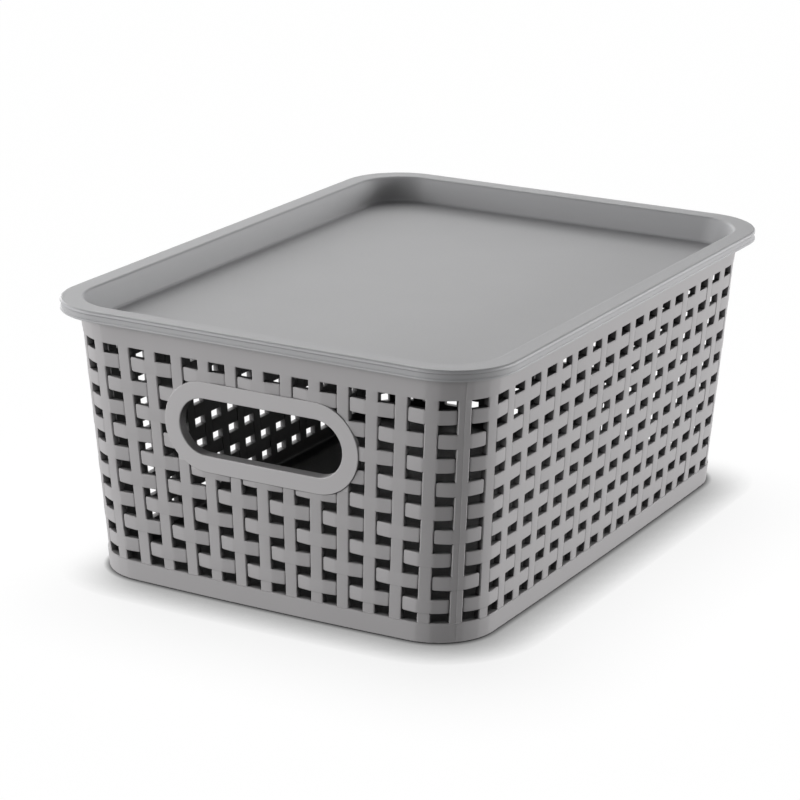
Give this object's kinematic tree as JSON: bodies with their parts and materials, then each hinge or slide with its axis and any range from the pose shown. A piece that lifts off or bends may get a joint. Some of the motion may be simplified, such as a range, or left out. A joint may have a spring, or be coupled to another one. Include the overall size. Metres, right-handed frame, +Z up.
{
  "type": "lidded storage basket",
  "caption": "Rectangular open-weave plastic storage basket with an oval grip opening in each short end and a lift-off tray lid.",
  "frame": {"origin": "middle of the basket's underside, on the surface that it stands on", "axes": "+Z up, +Y along the length of the box, +X across its width; the grip openings are in the walls that face -Y and +Y"},
  "size_m": [0.2484, 0.3394, 0.141],
  "materials": {
    "basket_plastic": "satin moulded polypropylene, grey, with a woven-strand relief",
    "lid_plastic": "satin moulded polypropylene, grey, smooth"
  },
  "bodies": {
    "basket": {"basket": "basket_plastic"},
    "lid": {"lid": "lid_plastic"}
  },
  "joints": [
    {"name": "lid_lift", "type": "slide", "parent": "basket", "child": "lid", "axis": [0, 0, 1], "range_m": [0, 0.08]}
  ]
}
